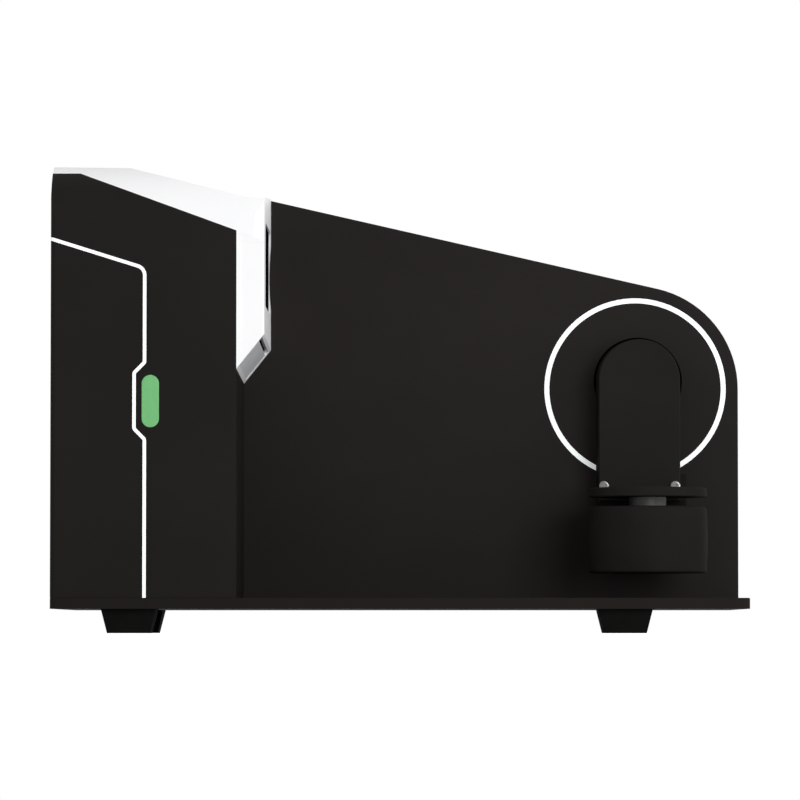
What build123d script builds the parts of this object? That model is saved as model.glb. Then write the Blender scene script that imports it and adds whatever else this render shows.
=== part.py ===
from build123d import *
import math
import os

# Desktop 3-D scanner for dental models. Millimetres, Z up. X runs along the length, from the optics
# tower (-X) to the swing arm (+X), and the operator's long side faces -Y.
# The origin is under the middle of the base plate, on the surface that the feet stand on.

# Fits
slip_gap = 0.15
running_gap = 0.05
moving_gap = 0.4

# Base plate and feet
base_length = 505.0
base_depth = 271.0
base_thickness = 7.9
base_corner_radius = 5.0
base_edge_round = 0.8
foot_height = 17.5
foot_top_width = 39.6
foot_bottom_width = 31.1
foot_edge_distance = 9.0
front_left_foot_end = 56.3
front_right_foot_end = 89.6
rear_foot_spread = 6.4
foot_bore_radius = 5.5
foot_bore_depth = 9.0
foot_screw_head_radius = 4.2
foot_screw_head_height = 2.6
foot_screw_radius = 2.0
foot_screw_grip = 5.0

# Rear housing: wall panel, wrapped casing, rear panel
overall_height = 345.0
front_share = 0.535
wall_thickness = 4.0
wall_edge_round = 0.8
roof_angle = 12.88
shoulder_radius = 77.1
shoulder_drop = 162.0
casing_thickness = 2.5
casing_rear_gap = 3.5
rear_panel_inset = 2.5
rear_panel_thickness = 2.5
cable_hole_radius = 16.0
cable_hole_end = 62.5
cable_hole_rise = 44.6

# Light ring in the wall, round the shoulder's centre
ring_outer_radius = 68.0
ring_inner_radius = 64.3
ring_groove_depth = 3.0
ring_strip_thickness = 1.0

# Tower
tower_setback = 1.4
tower_length = 134.5
tower_corner_radius = 3.6
cover_thickness = 3.0
cover_top_drop = 11.0
cover_front_drop = 54.1
cover_slope = 0.366
cover_lean = 0.062
brow_radius = 42.0
brow_drop = 46.6

# Trim line inlaid in the tower's side cover
trim_width = 2.5
trim_depth = 1.2
trim_start_drop = 60.0
trim_slope = 0.314
trim_end = 68.2
trim_jog_depth = 7.5
trim_jog_rise = 0.3
trim_jog_reach = 27.8
trim_jog_run = 7.6
trim_bend_radius = 7.2
trim_jog_radius = 2.4

# Start button and its push switch
button_offset = 4.2
button_rise = 141.9
button_width = 12.6
button_height = 38.0
button_proud = 0.8
button_cap_depth = 5.0
button_edge = 0.6
button_travel = 1.5
button_gap = 0.3
plunger_radius = 2.0
plunger_length = 4.0
switch_width = 12.0
switch_height = 12.0
switch_depth = 8.0
switch_arm_width = 10.0
switch_arm_thickness = 2.0

# Optics hood
hood_wall = 3.0
nose_reach = 20.1
nose_front_wall = 4.5
roof_knee_end = 57.9
roof_knee_drop = 5.75
roof_rise = 0.075
nose_roof_width = 14.4
nose_roof_drop = 26.4
nose_roof_fall = 0.6
nose_corner_width = 7.4
nose_corner_depth = 1.4
nose_edge = 0.9
nose_side_recess = 0.6
nose_side_start = 2.9
nose_side_drop = 63.7
nose_depth = 154.1
underside_slope = 1.245
underside_drop = 4.0
underside_rim = 2.5
underside_low_rim = 3.3
underside_far_rim = 8.0
underside_slot = 3.4
underside_ledge = 1.6
underside_recess = 0.4
underside_panel_thickness = 1.6
window_drop = 76.7
window_height = 61.4
window_near_rim = 26.7
window_far_rim = 16.3
window_recess = 1.2
notch_depth = 1.15
notch_height = 48.2
notch_drop = 79.3
window_corner_radius = 6.0
window_ledge = 3.0
pane_thickness = 2.0

# Optics inside the tower
post_size = 18.0
post_inset = 12.0
bench_drop = 52.0
bench_thickness = 4.0
bench_end_gap = 6.0
cradle_margin = 1.0
cradle_back = 12.0
look_angle = 17.5
projector_width = 34.0
projector_height = 45.0
projector_length = 74.0
projector_lens_radius = 13.0
projector_lens_length = 16.0
projector_lens_edge = 0.6
camera_size = 28.0
camera_length = 32.0
camera_spacing = 68.0
camera_lens_radius = 12.5
camera_lens_length = 22.0
camera_lens_step = 1.5
lens_setback = 10.0

# Swing drive: hub, shaft, bearings, stand, gears and motor
pivot_offset_x = 2.1
pivot_offset_z = 5.3
hub_hole_radius = 33.1
hub_radius = 29.6
hub_depth = 12.0
swing_shaft_radius = 12.0
swing_shaft_length = 66.0
bearing_outer_radius = 21.0
stand_front_gap = 14.5
stand_plate = 8.0
stand_spacing = 32.0
stand_left = 73.0
stand_right = 42.0
stand_top = 40.0
stand_foot_thickness = 8.0
gear_module = 1.25
gear_teeth = 54
pinion_teeth = 18
gear_width = 10.0
gear_clear = 7.0
gear_backlash = 0.16
pressure_angle = 20.0
flank_steps = 4
motor_size = 42.3
motor_length = 40.0
motor_shaft_radius = 2.5
motor_shaft_reach = 12.0
motor_edge = 4.0

# Swing arm
arm_gap = 2.0
bracket_flare = 1.2
bracket_thickness = 25.0
bracket_ear = 4.5
bracket_ear_rise = 25.6
bracket_bottom_rise = 12.5
arm_cover_radius = 30.3
arm_cover_thickness = 3.0
arm_cover_edge = 0.7
arm_cover_rise = 5.4
arm_screw_x = 26.5
arm_screw_rise = 16.6
arm_screw_low_rise = 20.5
arm_screw_head_radius = 4.0
arm_screw_head_height = 2.4
arm_screw_radius = 1.5
arm_screw_length = 10.0
arm_screw_socket = 1.7

# Motor drum and turntable
turntable_offset = 4.1
drum_arm_gap = 0.7
drum_radius = 44.0
drum_crown = 1.0
drum_clearance = 18.6
drum_height = 48.6
drum_wall = 3.0
drum_top_edge = 2.5
drum_bottom_edge = 2.0
drum_floor = 3.0
drum_neck_width = 34.0
drum_neck_margin = 6.0
drum_neck_root = 36.0
shaft_radius = 13.6
shaft_hole_gap = 1.6
table_bearing_radius = 20.0
table_bearing_height = 6.0
bearing_seat_wall = 4.0
turntable_motor_size = 42.3
turntable_motor_height = 22.0
spindle_radius = 2.5
spindle_depth = 14.0
spindle_collar = 8.5
disc_radius = 43.5
disc_gap = 7.05
disc_thickness = 6.65
disc_edge = 0.6
disc_screw_count = 3
disc_screw_circle = 8.5
disc_screw_radius = 1.5
disc_screw_head_radius = 2.8
disc_screw_length = 12.0

# Electronics and rear fittings
board_width = 130.0
board_height = 110.0
board_thickness = 1.6
board_x = 5.0
board_rise = 124.6
board_standoff_height = 12.0
board_standoff_radius = 3.0
board_hole_inset = 6.0
chip_size = 28.0
chip_height = 3.0
plug_count = 4
plug_pitch = 26.0
plug_width = 18.0
plug_depth = 9.0
plug_height = 8.0
plug_inset = 4.0
capacitor_count = 3
capacitor_pitch = 11.0
capacitor_radius = 4.0
capacitor_length = 14.0
capacitor_x = 41.0
capacitor_z = 34.0
supply_length = 90.0
supply_depth = 46.0
supply_height = 58.0
supply_end = 102.5
supply_gap = 24.0
supply_edge = 1.5
socket_rise = 36.6
inlet_end = 52.5
inlet_flange_width = 34.0
inlet_flange_height = 27.0
inlet_body_width = 28.0
inlet_body_height = 21.0
inlet_flange_thickness = 1.6
inlet_corner = 2.0
inlet_body_depth = 26.0
inlet_cavity_width = 24.0
inlet_cavity_height = 16.6
inlet_cavity_depth = 18.0
inlet_pin_width = 2.0
inlet_pin_height = 4.0
inlet_pin_pitch = 7.0
inlet_earth_offset = 3.4
inlet_pin_length = 12.6
rocker_end = 102.5
rocker_body_width = 21.0
rocker_body_height = 30.0
rocker_body_depth = 18.0
rocker_width = 15.0
rocker_height = 24.0
rocker_depth = 7.0
rocker_tilt = 7.0
rocker_side_gap = 0.5
rocker_end_gap = 1.1
rocker_floor = 2.0
rocker_rim = 2.0
rocker_proud = 0.5
rocker_pin_radius = 1.5
rocker_pin_length = 2.0
usb_end = 142.5
usb_width = 12.0
usb_height = 11.0
usb_wall = 0.8
usb_depth = 16.0
usb_tongue_width = 5.6
usb_tongue_height = 3.2
usb_tongue_setback = 4.6
fan_x = -20.0
fan_rise = 58.6
fan_size = 60.0
fan_depth = 15.0
fan_bore_radius = 27.5
fan_hub_radius = 13.0
fan_blade_count = 7
fan_blade_thickness = 1.4
fan_blade_tilt = 32.0
fan_tip_gap = 1.2
fan_corner = 4.0
fan_spoke_width = 3.0
fan_spoke_root = 0.5
fan_spoke_thickness = 2.0
fan_pin_radius = 1.5
vent_slot_width = 3.0
vent_slot_pitch = 6.5
vent_slot_height = 46.0
vent_slot_count = 16
vent_end = 72.5
vent_drop = 95.0
tie_rod_radius = 5.0
tie_screw_head_radius = 3.4
tie_screw_head_height = 1.8
tie_screw_radius = 1.5
tie_screw_grip = 8.0

# Planes and corners that follow from the values above
base_top = foot_height + base_thickness
near_edge = -base_depth / 2
far_edge = base_depth / 2
housing_left = -base_length / 2
housing_right = base_length / 2
shoulder_centre_x = housing_right - shoulder_radius
shoulder_centre_z = overall_height - shoulder_drop
wall_front = near_edge + base_depth * front_share
wall_back = wall_front + wall_thickness
casing_rear = far_edge - casing_rear_gap
rear_panel_out = casing_rear - rear_panel_inset
rear_panel_in = rear_panel_out - rear_panel_thickness
cable_hole_x = housing_left + cable_hole_end
cable_hole_z = base_top + cable_hole_rise
tower_near = near_edge + tower_setback
tower_front_x = housing_left + tower_length
cover_top = overall_height - cover_top_drop
cover_front_z = overall_height - cover_front_drop
brow_y = tower_near + brow_radius
brow_z = overall_height - brow_drop
trim_x = housing_left + trim_end
trim_start_z = overall_height - trim_start_drop
button_x = trim_x + button_offset
button_z = base_top + button_rise
nose_front_x = tower_front_x + nose_reach
roof_knee_x = housing_left + roof_knee_end
nose_roof_x = nose_front_x - nose_roof_width
nose_side_z = overall_height - nose_side_drop
underside_near_z = overall_height - nose_depth
pivot_x = shoulder_centre_x + pivot_offset_x
pivot_z = shoulder_centre_z + pivot_offset_z
arm_back = wall_front - arm_gap
bracket_front = arm_back - bracket_thickness
arm_front = bracket_front - arm_cover_thickness
drum_bottom = base_top + drum_clearance
drum_top = drum_bottom + drum_height
turntable_x = pivot_x + turntable_offset
turntable_y = arm_front - drum_arm_gap - drum_radius
disc_bottom = drum_top + disc_gap
disc_top = disc_bottom + disc_thickness
arm_screw_z = drum_top + arm_screw_rise
arm_screw_low_z = drum_bottom + arm_screw_low_rise
gear_centres = gear_module * (gear_teeth + pinion_teeth) / 2
pinion_x = pivot_x - gear_centres
stand_front = wall_back + stand_front_gap
stand_rear = stand_front + stand_spacing
gear_front = stand_front + stand_plate + gear_clear
motor_face = stand_rear + stand_plate
window_width = wall_front - tower_near - window_near_rim - window_far_rim
window_y = tower_near + window_near_rim + window_width / 2
window_z = overall_height - window_drop
bench_z = window_z - bench_drop
board_z = base_top + board_rise
socket_z = base_top + socket_rise
inlet_x = housing_left + inlet_end
rocker_x = housing_left + rocker_end
usb_x = housing_left + usb_end
supply_x = housing_left + supply_end
fan_z = base_top + fan_rise
vent_x = housing_left + vent_end
vent_z = overall_height - vent_drop

# Oversize used for tools that cut right through
beyond = 400.0


# Small helpers for solids placed by their sides

def block(x_low, x_high, y_low, y_high, z_low, z_high):
    """A box given by its six sides."""
    sizes = (x_high - x_low, y_high - y_low, z_high - z_low)
    return Pos(x_low, y_low, z_low) * Box(*sizes, align=(Align.MIN, Align.MIN, Align.MIN))


def rod_y(x, z, radius, y_low, y_high):
    """A cylinder along Y."""
    turned = Pos(x, y_low, z) * Rot(-90, 0, 0)
    return turned * Cylinder(radius, y_high - y_low, align=(Align.CENTER, Align.CENTER, Align.MIN))


def rod_z(x, y, radius, z_low, z_high):
    """A cylinder along Z."""
    foot = (Align.CENTER, Align.CENTER, Align.MIN)
    return Pos(x, y, z_low) * Cylinder(radius, z_high - z_low, align=foot)


def rod_x(y, z, radius, x_low, x_high):
    """A cylinder along X."""
    turned = Pos(x_low, y, z) * Rot(0, 90, 0)
    return turned * Cylinder(radius, x_high - x_low, align=(Align.CENTER, Align.CENTER, Align.MIN))


def slab_y(outline, y_low, y_high):
    """An outline drawn in X and Z, given a thickness along Y."""
    upright = Plane((0, y_low, 0), x_dir=(1, 0, 0), z_dir=(0, -1, 0))
    return extrude(upright * outline, amount=y_high - y_low, dir=(0, 1, 0))


def centred_slab(x, z, width, height, y_low, y_high):
    """A box round a centre in X and Z."""
    return slab_y(Pos(x, z) * Rectangle(width, height), y_low, y_high)


def polygon(points):
    """A closed outline with straight sides."""
    return make_face(Polyline(*points, close=True))


def outward_plane(first, second, third, outside):
    """The plane through three points, with its normal on the side of the direction outside."""
    normal = (second - first).cross(third - first).normalized()
    if normal.dot(Vector(*outside)) < 0:
        normal = normal * -1
    return Plane(first, x_dir=(second - first).normalized(), z_dir=normal)


def half_space(plane):
    """A large block that starts at the plane and lies on its outer side."""
    on_plane = (Align.CENTER, Align.CENTER, Align.MIN)
    return plane * Box(2 * beyond, 2 * beyond, beyond, align=on_plane)


# Base plate on its feet

def foot_places():
    """Centres of the four feet in X and Y, the front pair first."""
    front_y = near_edge + foot_edge_distance + foot_top_width / 2
    rear_y = far_edge - foot_edge_distance - foot_top_width / 2
    left_x = -base_length / 2 + front_left_foot_end
    right_x = base_length / 2 - front_right_foot_end
    yield left_x, front_y
    yield right_x, front_y
    yield left_x - rear_foot_spread, rear_y
    yield right_x + rear_foot_spread, rear_y


def make_base_plate():
    plan = RectangleRounded(base_length, base_depth, base_corner_radius)
    plate = extrude(Pos(0, 0, foot_height) * plan, amount=base_thickness)
    plate = fillet(plate.faces().sort_by(Axis.Z)[-1].edges(), base_edge_round)
    for x, y in foot_places():
        plate -= rod_z(x, y, foot_screw_radius + running_gap, foot_height, foot_height + foot_screw_grip)
    return [plate]


def make_rubber_feet():
    feet = []
    for x, y in foot_places():
        bottom = Pos(x, y, 0) * Rectangle(foot_bottom_width, foot_bottom_width)
        top = Pos(x, y, foot_height) * Rectangle(foot_top_width, foot_top_width)
        foot = loft([bottom.face(), top.face()])
        foot -= rod_z(x, y, foot_bore_radius, 0, foot_bore_depth)
        foot -= rod_z(x, y, foot_screw_radius + slip_gap, 0, foot_height)
        feet.append(foot)
    return feet


def make_foot_screws():
    screws = []
    seat = foot_bore_depth
    for x, y in foot_places():
        head = rod_z(x, y, foot_screw_head_radius, seat - foot_screw_head_height, seat)
        shank = rod_z(x, y, foot_screw_radius, seat, foot_height + foot_screw_grip)
        screws.append(head + shank)
    return screws


# Rear housing

def housing_outline(inset, bottom):
    """Side view of the housing: flat top, sloping roof and round shoulder, moved inwards by inset."""
    left = housing_left + inset
    right = housing_right - inset
    top = overall_height - inset
    radius = shoulder_radius - inset
    angle = math.radians(90 - roof_angle)
    centre = Vector(shoulder_centre_x, shoulder_centre_z)
    tangent = centre + Vector(math.cos(angle), math.sin(angle)) * radius
    middle = centre + Vector(math.cos(angle / 2), math.sin(angle / 2)) * radius
    roof_z = tangent.Y + (tangent.X - nose_front_x) * math.tan(math.radians(roof_angle))
    nose_z = top - nose_roof_drop + roof_rise * (wall_front - brow_y)
    slope = (nose_roof_drop - roof_knee_drop) / (nose_roof_x - roof_knee_x)
    flat_end = nose_roof_x - (top - nose_z) / slope
    corners = [(right, shoulder_centre_z), (right, bottom), (left, bottom), (left, top), (flat_end, top)]
    sides = Polyline(*corners, (nose_roof_x, nose_z), (nose_front_x, roof_z), (tangent.X, tangent.Y))
    shoulder = ThreePointArc((tangent.X, tangent.Y), (middle.X, middle.Y), corners[0])
    return make_face(sides.edges() + shoulder.edges())


def tie_rod_places():
    """Centres of the tie rods in X and Z, just inside the casing."""
    margin = casing_thickness + 2 * tie_rod_radius
    yield housing_left + margin, base_top + margin
    yield housing_left + margin, overall_height - 2 * margin
    yield -2 * margin, overall_height - 5 * margin
    yield housing_right - margin, base_top + margin
    yield pivot_x - 2 * stand_right, base_top + margin


def ring_band(inner, outer, y_low, y_high):
    """A flat ring round the shoulder's centre."""
    centre = (shoulder_centre_x, shoulder_centre_z)
    return rod_y(*centre, outer, y_low, y_high) - rod_y(*centre, inner, y_low, y_high)


def make_wall_panel():
    panel = slab_y(housing_outline(0, base_top), wall_front, wall_back)
    front = panel.faces().sort_by(Axis.Y)[0]
    panel = fillet(front.edges().filter_by(lambda edge: edge.center().Z > base_top + slip_gap), wall_edge_round)
    panel -= ring_band(ring_inner_radius, ring_outer_radius, wall_front, wall_front + ring_groove_depth)
    panel -= rod_y(pivot_x, pivot_z, hub_hole_radius, wall_front, wall_back)
    panel -= rod_y(cable_hole_x, cable_hole_z, cable_hole_radius, wall_front, wall_back)
    return [panel]


def make_ring_diffuser():
    face = wall_front + ring_groove_depth - ring_strip_thickness
    return [ring_band(ring_inner_radius, ring_outer_radius, wall_front, face)]


def make_ring_led_strip():
    seat = wall_front + ring_groove_depth
    return [ring_band(ring_inner_radius, ring_outer_radius, seat - ring_strip_thickness, seat)]


def make_housing_casing():
    outer = slab_y(housing_outline(0, base_top), wall_back, casing_rear)
    inner = slab_y(housing_outline(casing_thickness, base_top - beyond), wall_back, casing_rear)
    return [outer - inner]


def slot_row(x, z, height, count):
    """Upright slots side by side, cut through the rear panel."""
    slots = []
    for number in range(count):
        offset = (number - (count - 1) / 2) * vent_slot_pitch
        slot = Pos(x + offset, z) * Rot(0, 0, 90) * SlotOverall(height, vent_slot_width)
        slots.append(slab_y(slot, rear_panel_in, rear_panel_out))
    return slots


def fan_slots():
    """Upright slots over the fan, each as long as the fan's bore allows at its place."""
    slots = []
    half_count = int((fan_bore_radius - vent_slot_width) / vent_slot_pitch)
    for number in range(-half_count, half_count + 1):
        offset = number * vent_slot_pitch
        chord = 2 * math.sqrt(fan_bore_radius ** 2 - (abs(offset) + vent_slot_width / 2) ** 2)
        slots += slot_row(fan_x + offset, fan_z, chord, 1)
    return slots


def make_rear_panel():
    panel = slab_y(housing_outline(casing_thickness, base_top), rear_panel_in, rear_panel_out)
    openings = [
        (inlet_x, socket_z, inlet_body_width, inlet_body_height),
        (rocker_x, socket_z, rocker_body_width, rocker_body_height),
        (usb_x, socket_z, usb_width, usb_height),
    ]
    for x, z, width, height in openings:
        hole = Pos(x, z) * Rectangle(width + 2 * slip_gap, height + 2 * slip_gap)
        panel -= slab_y(hole, rear_panel_in, rear_panel_out)
    for slot in slot_row(vent_x, vent_z, vent_slot_height, vent_slot_count) + fan_slots():
        panel -= slot
    for x, z in tie_rod_places():
        panel -= rod_y(x, z, tie_screw_radius + slip_gap, rear_panel_in, rear_panel_out)
    return [panel]


def make_tie_rods():
    rods = []
    for x, z in tie_rod_places():
        rod = rod_y(x, z, tie_rod_radius, wall_back, rear_panel_in)
        rod -= rod_y(x, z, tie_screw_radius + running_gap, rear_panel_in - tie_screw_grip, rear_panel_in)
        rods.append(rod)
    return rods


def make_rear_panel_screws():
    screws = []
    for x, z in tie_rod_places():
        head = rod_y(x, z, tie_screw_head_radius, rear_panel_out, rear_panel_out + tie_screw_head_height)
        shank = rod_y(x, z, tie_screw_radius, rear_panel_in - tie_screw_grip, rear_panel_out)
        screws.append(head + shank)
    return screws


# Tower

def tower_plan(inset, front_x):
    """Plan of the tower, as far as front_x and the wall, moved inwards by inset."""
    left = housing_left + inset
    near = tower_near + inset
    radius = max(tower_corner_radius - inset, slip_gap)
    bend = Vector(left + radius, near + radius)
    reach = radius * math.sqrt(0.5)
    corner = ThreePointArc((left, bend.Y), (bend.X - reach, bend.Y - reach), (bend.X, near))
    front = [(bend.X, near), (front_x, near), (front_x, wall_front)]
    rest = Polyline(*front, (left, wall_front), (left, bend.Y))
    return make_face(corner.edges() + rest.edges())


def brow_section(inset):
    """Section in Y and Z: upright near side, round brow, and a roof that rises to the wall."""
    near = tower_near + inset
    radius = brow_radius - inset
    reach = radius * math.sqrt(0.5)
    brow = ThreePointArc((near, brow_z), (brow_y - reach, brow_z + reach), (brow_y, brow_z + radius))
    roof = [(brow_y, brow_z + radius), (wall_front, overall_height - inset)]
    rest = Polyline(*roof, (wall_front, base_top), (near, base_top), (near, brow_z))
    return make_face(brow.edges() + rest.edges())


def tower_volume(inset, front_x):
    """The tower with its round brow as one block up to front_x, moved inwards by inset."""
    upright = extrude(Pos(0, 0, base_top) * tower_plan(inset, front_x), amount=overall_height - base_top)
    side = Plane((housing_left, 0, 0), x_dir=(0, 1, 0), z_dir=(1, 0, 0))
    return upright & extrude(side * brow_section(inset), amount=front_x - housing_left)


def cover_line_z(x):
    """Height of the side cover's sloping top edge at x, also carried on past the tower's front."""
    return cover_front_z + cover_slope * (tower_front_x - x)


def cover_line_plane():
    """The plane between the side cover and the hood along the sloping edge."""
    start = Vector(tower_front_x, tower_near, cover_front_z)
    along = Vector(housing_left, tower_near, cover_line_z(housing_left))
    inwards = start + Vector(0, brow_radius, cover_lean * brow_radius)
    return outward_plane(start, along, inwards, (0, 0, 1))


def below_hood():
    """All of the tower that lies under the hood's edge."""
    sides = (housing_left, tower_front_x, tower_near, wall_front, base_top, cover_top)
    return block(*sides) - half_space(cover_line_plane())


def trim_outline():
    """The trim line: down a slope from the left, round a bend, then down to the base with one jog."""
    bend_z = trim_start_z - trim_slope * (trim_x - housing_left)
    jog_x = trim_x - trim_jog_depth
    jog_z = button_z + trim_jog_rise
    points = [
        (housing_left, trim_start_z),
        (trim_x, bend_z),
        (trim_x, jog_z + trim_jog_reach),
        (jog_x, jog_z + trim_jog_reach - trim_jog_run),
        (jog_x, jog_z - trim_jog_reach + trim_jog_run),
        (trim_x, jog_z - trim_jog_reach),
        (trim_x, base_top),
    ]
    radii = [trim_bend_radius] + [trim_jog_radius] * 4
    path = FilletPolyline(*points, radius=radii)
    return trace(path, line_width=trim_width)


def trim_body():
    """The trim line's volume: the outer skin of the side cover along the line."""
    line = slab_y(trim_outline(), tower_near, tower_near + tower_corner_radius)
    low = Pos(0, 0, base_top)
    outer = extrude(low * tower_plan(0, tower_front_x), amount=brow_z - base_top)
    inner = extrude(low * tower_plan(trim_depth, tower_front_x), amount=brow_z - base_top)
    return (line & outer) - inner


def button_outline(gap):
    """The button's pill shape, made larger all round by gap."""
    pill = SlotOverall(button_height + 2 * gap, button_width + 2 * gap)
    return Pos(button_x, button_z) * Rot(0, 0, 90) * pill


def make_tower_side_cover():
    cover = tower_volume(0, tower_front_x) - tower_volume(cover_thickness, tower_front_x)
    cover = cover & below_hood()
    cover -= trim_body()
    cover -= slab_y(button_outline(button_gap), tower_near, tower_near + cover_thickness)
    return [cover]


def make_trim_line():
    return [trim_body()]


def make_tower_front_panel():
    near = tower_near + cover_thickness
    panel = block(tower_front_x - cover_thickness, tower_front_x, near, wall_front, base_top, overall_height)
    top = outward_plane(
        Vector(tower_front_x, tower_near, underside_near_z),
        Vector(nose_front_x, tower_near, underside_near_z),
        Vector(tower_front_x, wall_front, underside_near_z - underside_drop),
        (0, 0, 1),
    )
    return [panel - half_space(top)]


def make_start_button():
    front = tower_near - button_proud
    cap = slab_y(button_outline(0), front, front + button_cap_depth)
    cap = fillet(cap.faces().sort_by(Axis.Y)[0].edges(), button_edge)
    plunger_end = front + button_cap_depth + plunger_length
    return [cap + rod_y(button_x, button_z, plunger_radius, front + button_cap_depth, plunger_end)]


def make_push_switch():
    cap_back = tower_near - button_proud + button_cap_depth
    face = cap_back + button_travel + moving_gap
    back = face + switch_depth
    body = centred_slab(button_x, button_z, switch_width, switch_height, face, back)
    bore_end = cap_back + plunger_length + button_travel + moving_gap
    body -= rod_y(button_x, button_z, plunger_radius + moving_gap, face, bore_end)
    left = button_x - switch_arm_width / 2
    right = button_x + switch_arm_width / 2
    arm_low = button_z - button_height
    arm_back = back + switch_arm_thickness
    body += block(left, right, back, arm_back, arm_low, button_z + switch_height / 2)
    cover_face = tower_near + cover_thickness
    body += block(left, right, cover_face, arm_back, arm_low - switch_arm_thickness, arm_low)
    return [body]


# Optics hood over the tower

def hood_cuts(inset):
    """Everything above the hood's roof and below its underside, both moved inwards by inset."""
    brow_top = brow_z + brow_radius
    nose_top = overall_height - nose_roof_drop
    left = Vector(housing_left, brow_y, brow_top)
    left_wall = Vector(housing_left, wall_front, overall_height)
    knee = Vector(roof_knee_x, brow_y, overall_height - roof_knee_drop)
    nose = Vector(nose_roof_x, brow_y, nose_top)
    nose_wall = nose + Vector(0, wall_front - brow_y, roof_rise * (wall_front - brow_y))
    nose_end = Vector(nose_front_x, brow_y, nose_top - nose_roof_fall)
    gentle_roof = outward_plane(left, knee, left_wall, (0, 0, 1)).offset(-inset)
    sloping_roof = outward_plane(knee, nose, nose_wall, (0, 0, 1)).offset(-inset)
    nose_roof = outward_plane(nose, nose_end, nose_wall, (0, 0, 1)).offset(-inset)
    roof_cut = half_space(sloping_roof) & half_space(nose_roof)
    return [half_space(gentle_roof), roof_cut, half_space(underside_plane().offset(-inset))]


def underside_plane():
    """The slanted underside of the nose."""
    rise = underside_slope * (nose_front_x - tower_front_x)
    low = Vector(tower_front_x, tower_near, underside_near_z)
    high = Vector(nose_front_x, tower_near, underside_near_z + rise)
    far = Vector(tower_front_x, wall_front, underside_near_z - underside_drop)
    return outward_plane(low, high, far, (0, 0, -1))


def underside_frame():
    """A frame on the underside: x up the slope from the tower's front, y towards the wall, z outwards."""
    plane = underside_plane()
    return Plane(plane.origin, x_dir=plane.x_dir, z_dir=plane.z_dir)


def underside_length():
    """Length of the underside along its slope."""
    run = nose_front_x - tower_front_x
    return math.hypot(run, underside_slope * run)


def underside_slab(points, low, high):
    """An outline on the underside, given a thickness. Its second values run from the near side to the wall."""
    frame = underside_frame()
    side = 1 if frame.y_dir.Y > 0 else -1
    outline = polygon([(along, side * inwards) for along, inwards in points])
    return extrude(frame * Pos(0, 0, low) * outline, amount=high - low, dir=frame.z_dir)


def underside_opening(grow, upper_grow):
    """The underside's opening, made larger by grow, and at its upper end by upper_grow.

    Its two ends run like the hood's lower edge, which falls towards the wall.
    """
    start = underside_low_rim - grow
    end = underside_length() - underside_rim + upper_grow
    near = hood_wall - grow
    far = wall_front - tower_near - underside_far_rim + grow
    rise_share = underside_slope / math.hypot(1, underside_slope)
    slant = underside_drop * rise_share / (wall_front - tower_near)
    corners = [(start, near), (end, near), (end, far), (start, far)]
    return [(along - slant * inwards, inwards) for along, inwards in corners]


def window_outline(grow, corner):
    """The window's outline, drawn with Y as its first and Z as its second direction."""
    width = window_width + 2 * grow
    height = window_height + 2 * grow
    return RectangleRounded(width, height, corner)


def window_slab(outline, x_low, x_high):
    """A window outline given a thickness along X, round the window's centre."""
    facing = Plane((x_low, window_y, window_z), x_dir=(0, 1, 0), z_dir=(1, 0, 0))
    return extrude(facing * outline, amount=x_high - x_low)


def brow_corner_tool():
    """The flat bevel on the nose's near corner, above the line of the side cover's edge."""
    corner = [
        (nose_front_x - nose_corner_width, tower_near),
        (nose_front_x - nose_edge, tower_near + nose_corner_depth),
        (nose_front_x, tower_near + nose_corner_depth + nose_edge),
        (nose_front_x, tower_near),
    ]
    tool = extrude(Pos(0, 0, nose_side_z) * polygon(corner), amount=overall_height - nose_side_z)
    return tool & half_space(cover_line_plane())


def nose_side_tool():
    """The recess in the nose's near side below that line, with its small edge and the ramp above it."""
    start = tower_front_x + nose_side_start
    floor = tower_near + nose_side_recess
    corner = [
        (start, tower_near),
        (start, floor),
        (nose_front_x - nose_edge, floor),
        (nose_front_x, floor + nose_edge),
        (nose_front_x, tower_near),
    ]
    tool = extrude(Pos(0, 0, base_top) * polygon(corner), amount=nose_side_z - base_top)
    ends = []
    for x in (start, nose_front_x):
        facing = Plane((x, 0, 0), x_dir=(0, 1, 0), z_dir=(1, 0, 0))
        low = (tower_near, nose_side_z)
        ends.append((facing * polygon([low, (floor, nose_side_z), (tower_near, cover_line_z(x))])).face())
    return [tool, loft(ends, ruled=True)]


def notch_tool():
    """The shallow round notch in the nose's far rim."""
    radius = (notch_height ** 2 / 4 + notch_depth ** 2) / (2 * notch_depth)
    x = nose_front_x - notch_depth + radius
    return rod_y(x, overall_height - notch_drop, radius, wall_front - window_far_rim, wall_front)


def make_optics_hood():
    hood = tower_volume(0, nose_front_x) - below_hood()
    cavity = tower_volume(hood_wall, nose_front_x - nose_front_wall)
    for cut in hood_cuts(0):
        hood -= cut
    for cut in hood_cuts(hood_wall):
        cavity -= cut
    hood -= cavity
    hood -= brow_corner_tool()
    for tool in nose_side_tool():
        hood -= tool
    hood -= notch_tool()
    seat = nose_front_x - window_recess - pane_thickness
    hood -= window_slab(window_outline(0, window_corner_radius), seat, nose_front_x)
    inner = window_outline(-window_ledge, window_corner_radius - window_ledge)
    hood -= window_slab(inner, nose_front_x - 2 * nose_front_wall, nose_front_x)
    seat = -underside_recess - underside_panel_thickness
    hood -= underside_slab(underside_opening(0, 0), seat, hood_wall)
    hood -= underside_slab(underside_opening(-underside_ledge, 0), -2 * hood_wall, hood_wall)
    return [hood.solids().sort_by(SortBy.VOLUME)[-1]]


def make_nose_underside_panel():
    outline = underside_opening(-slip_gap, -underside_slot)
    return [underside_slab(outline, -underside_recess - underside_panel_thickness, -underside_recess)]


def make_window_pane():
    outline = window_outline(-slip_gap, window_corner_radius - slip_gap)
    face = nose_front_x - window_recess
    return [window_slab(outline, face - pane_thickness, face)]


# Optics on a bench inside the tower

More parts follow.
